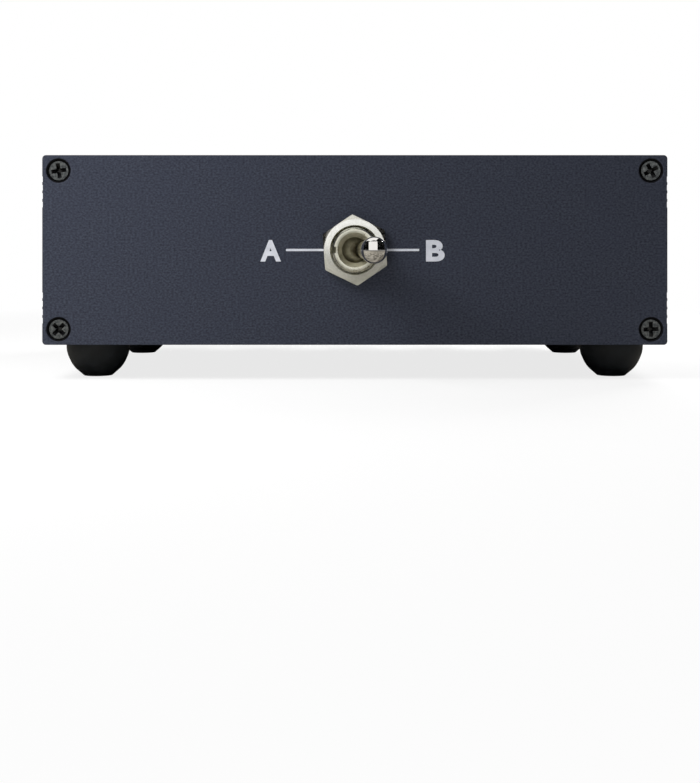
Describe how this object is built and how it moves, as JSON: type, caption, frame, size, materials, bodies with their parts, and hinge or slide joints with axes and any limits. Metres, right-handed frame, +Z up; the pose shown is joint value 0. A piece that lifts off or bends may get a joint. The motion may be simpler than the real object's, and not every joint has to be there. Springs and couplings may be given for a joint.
{
  "type": "speaker selector switch",
  "caption": "Flat speaker selector switch box with a bat-lever toggle in front and clear binding posts at the rear.",
  "frame": {"origin": "middle of the footprint on the surface that the feet stand on", "axes": "+X to the right seen from the front, +Y from the front panel to the rear panel, +Z up"},
  "size_m": [0.168, 0.1542, 0.0603],
  "materials": {
    "slate_paint": "fine satin texture",
    "black_shell": "satin",
    "black_screw": "satin",
    "black_rubber": "matte",
    "zinc_steel": "satin",
    "clear_plastic": "gloss",
    "brass": "polished",
    "tinned_brass": "satin",
    "nickel": "polished",
    "chrome": "mirror",
    "switch_moulding": "satin",
    "black_moulding": "satin",
    "white_ink": "matte",
    "wire_sleeve": "satin"
  },
  "bodies": {
    "case": {"upper_shell": "black_shell", "lower_shell": "black_shell", "front_panel": "slate_paint", "rear_panel": "slate_paint", "machine_screws": "black_screw", "rubber_feet": "black_rubber", "foot_nuts": "zinc_steel", "post_collars": "clear_plastic", "post_studs": "brass", "post_insulators": "black_moulding", "post_nuts": "zinc_steel", "solder_lugs": "tinned_brass", "toggle_bushing": "nickel", "toggle_nuts": "nickel", "toggle_lock_washer": "nickel", "toggle_housing": "switch_moulding", "toggle_terminals": "tinned_brass", "toggle_pivot_pin": "zinc_steel", "hookup_wires": "wire_sleeve"},
    "lever": {"toggle_lever": "chrome", "lever_carriage": "black_moulding", "contact_plungers": "brass", "plunger_springs": "zinc_steel"},
    "rockers": {"contact_rockers": "tinned_brass"},
    "ring_body_01": {"clamp_ring_01": "clear_plastic"},
    "cap_body_01": {"cap_01": "clear_plastic", "cap_insert_01": "brass"},
    "ring_body_02": {"clamp_ring_02": "clear_plastic"},
    "cap_body_02": {"cap_02": "clear_plastic", "cap_insert_02": "brass"},
    "ring_body_03": {"clamp_ring_03": "clear_plastic"},
    "cap_body_03": {"cap_03": "clear_plastic", "cap_insert_03": "brass"},
    "ring_body_04": {"clamp_ring_04": "clear_plastic"},
    "cap_body_04": {"cap_04": "clear_plastic", "cap_insert_04": "brass"},
    "ring_body_05": {"clamp_ring_05": "clear_plastic"},
    "cap_body_05": {"cap_05": "clear_plastic", "cap_insert_05": "brass"},
    "ring_body_06": {"clamp_ring_06": "clear_plastic"},
    "cap_body_06": {"cap_06": "clear_plastic", "cap_insert_06": "brass"},
    "ring_body_07": {"clamp_ring_07": "clear_plastic"},
    "cap_body_07": {"cap_07": "clear_plastic", "cap_insert_07": "brass"},
    "ring_body_08": {"clamp_ring_08": "clear_plastic"},
    "cap_body_08": {"cap_08": "clear_plastic", "cap_insert_08": "brass"},
    "ring_body_09": {"clamp_ring_09": "clear_plastic"},
    "cap_body_09": {"cap_09": "clear_plastic", "cap_insert_09": "brass"},
    "ring_body_10": {"clamp_ring_10": "clear_plastic"},
    "cap_body_10": {"cap_10": "clear_plastic", "cap_insert_10": "brass"},
    "ring_body_11": {"clamp_ring_11": "clear_plastic"},
    "cap_body_11": {"cap_11": "clear_plastic", "cap_insert_11": "brass"},
    "ring_body_12": {"clamp_ring_12": "clear_plastic"},
    "cap_body_12": {"cap_12": "clear_plastic", "cap_insert_12": "brass"}
  },
  "joints": [
    {"name": "lever_tilt", "type": "hinge", "parent": "case", "child": "lever", "pos_m": [0, -0.0513, 0.0348], "axis": [0, 0, -1], "range_deg": [0, 24]},
    {"name": "rocker_tilt", "type": "hinge", "parent": "case", "child": "rockers", "pos_m": [0, -0.03539, 0.0348], "axis": [0, 0, 1], "range_deg": [0, 16]},
    {"name": "post_01_lift", "type": "slide", "parent": "case", "child": "ring_body_01", "axis": [0, 1, 0], "range_m": [0, 0.005]},
    {"name": "post_01_turn", "type": "hinge", "parent": "ring_body_01", "child": "cap_body_01", "pos_m": [-0.06785, 0.0571, 0.05063], "axis": [0, 1, 0], "range_deg": [0, 1800]},
    {"name": "post_02_lift", "type": "slide", "parent": "case", "child": "ring_body_02", "axis": [0, 1, 0], "range_m": [0, 0.005]},
    {"name": "post_02_turn", "type": "hinge", "parent": "ring_body_02", "child": "cap_body_02", "pos_m": [-0.04071, 0.0571, 0.05063], "axis": [0, 1, 0], "range_deg": [0, 1800]},
    {"name": "post_03_lift", "type": "slide", "parent": "case", "child": "ring_body_03", "axis": [0, 1, 0], "range_m": [0, 0.005]},
    {"name": "post_03_turn", "type": "hinge", "parent": "ring_body_03", "child": "cap_body_03", "pos_m": [-0.01357, 0.0571, 0.05063], "axis": [0, 1, 0], "range_deg": [0, 1800]},
    {"name": "post_04_lift", "type": "slide", "parent": "case", "child": "ring_body_04", "axis": [0, 1, 0], "range_m": [0, 0.005]},
    {"name": "post_04_turn", "type": "hinge", "parent": "ring_body_04", "child": "cap_body_04", "pos_m": [0.01357, 0.0571, 0.05063], "axis": [0, 1, 0], "range_deg": [0, 1800]},
    {"name": "post_05_lift", "type": "slide", "parent": "case", "child": "ring_body_05", "axis": [0, 1, 0], "range_m": [0, 0.005]},
    {"name": "post_05_turn", "type": "hinge", "parent": "ring_body_05", "child": "cap_body_05", "pos_m": [0.04071, 0.0571, 0.05063], "axis": [0, 1, 0], "range_deg": [0, 1800]},
    {"name": "post_06_lift", "type": "slide", "parent": "case", "child": "ring_body_06", "axis": [0, 1, 0], "range_m": [0, 0.005]},
    {"name": "post_06_turn", "type": "hinge", "parent": "ring_body_06", "child": "cap_body_06", "pos_m": [0.06785, 0.0571, 0.05063], "axis": [0, 1, 0], "range_deg": [0, 1800]},
    {"name": "post_07_lift", "type": "slide", "parent": "case", "child": "ring_body_07", "axis": [0, 1, 0], "range_m": [0, 0.005]},
    {"name": "post_07_turn", "type": "hinge", "parent": "ring_body_07", "child": "cap_body_07", "pos_m": [-0.06785, 0.0571, 0.01897], "axis": [0, 1, 0], "range_deg": [0, 1800]},
    {"name": "post_08_lift", "type": "slide", "parent": "case", "child": "ring_body_08", "axis": [0, 1, 0], "range_m": [0, 0.005]},
    {"name": "post_08_turn", "type": "hinge", "parent": "ring_body_08", "child": "cap_body_08", "pos_m": [-0.04071, 0.0571, 0.01897], "axis": [0, 1, 0], "range_deg": [0, 1800]},
    {"name": "post_09_lift", "type": "slide", "parent": "case", "child": "ring_body_09", "axis": [0, 1, 0], "range_m": [0, 0.005]},
    {"name": "post_09_turn", "type": "hinge", "parent": "ring_body_09", "child": "cap_body_09", "pos_m": [-0.01357, 0.0571, 0.01897], "axis": [0, 1, 0], "range_deg": [0, 1800]},
    {"name": "post_10_lift", "type": "slide", "parent": "case", "child": "ring_body_10", "axis": [0, 1, 0], "range_m": [0, 0.005]},
    {"name": "post_10_turn", "type": "hinge", "parent": "ring_body_10", "child": "cap_body_10", "pos_m": [0.01357, 0.0571, 0.01897], "axis": [0, 1, 0], "range_deg": [0, 1800]},
    {"name": "post_11_lift", "type": "slide", "parent": "case", "child": "ring_body_11", "axis": [0, 1, 0], "range_m": [0, 0.005]},
    {"name": "post_11_turn", "type": "hinge", "parent": "ring_body_11", "child": "cap_body_11", "pos_m": [0.04071, 0.0571, 0.01897], "axis": [0, 1, 0], "range_deg": [0, 1800]},
    {"name": "post_12_lift", "type": "slide", "parent": "case", "child": "ring_body_12", "axis": [0, 1, 0], "range_m": [0, 0.005]},
    {"name": "post_12_turn", "type": "hinge", "parent": "ring_body_12", "child": "cap_body_12", "pos_m": [0.06785, 0.0571, 0.01897], "axis": [0, 1, 0], "range_deg": [0, 1800]}
  ],
  "couplings": [
    {"joint": "rocker_tilt", "follows": "lever_tilt", "ratio": 0.6666},
    {"joint": "post_01_turn", "follows": "post_01_lift", "rad_per_m": 6283.2},
    {"joint": "post_02_turn", "follows": "post_02_lift", "rad_per_m": 6283.2},
    {"joint": "post_03_turn", "follows": "post_03_lift", "rad_per_m": 6283.2},
    {"joint": "post_04_turn", "follows": "post_04_lift", "rad_per_m": 6283.2},
    {"joint": "post_05_turn", "follows": "post_05_lift", "rad_per_m": 6283.2},
    {"joint": "post_06_turn", "follows": "post_06_lift", "rad_per_m": 6283.2},
    {"joint": "post_07_turn", "follows": "post_07_lift", "rad_per_m": 6283.2},
    {"joint": "post_08_turn", "follows": "post_08_lift", "rad_per_m": 6283.2},
    {"joint": "post_09_turn", "follows": "post_09_lift", "rad_per_m": 6283.2},
    {"joint": "post_10_turn", "follows": "post_10_lift", "rad_per_m": 6283.2},
    {"joint": "post_11_turn", "follows": "post_11_lift", "rad_per_m": 6283.2},
    {"joint": "post_12_turn", "follows": "post_12_lift", "rad_per_m": 6283.2}
  ]
}
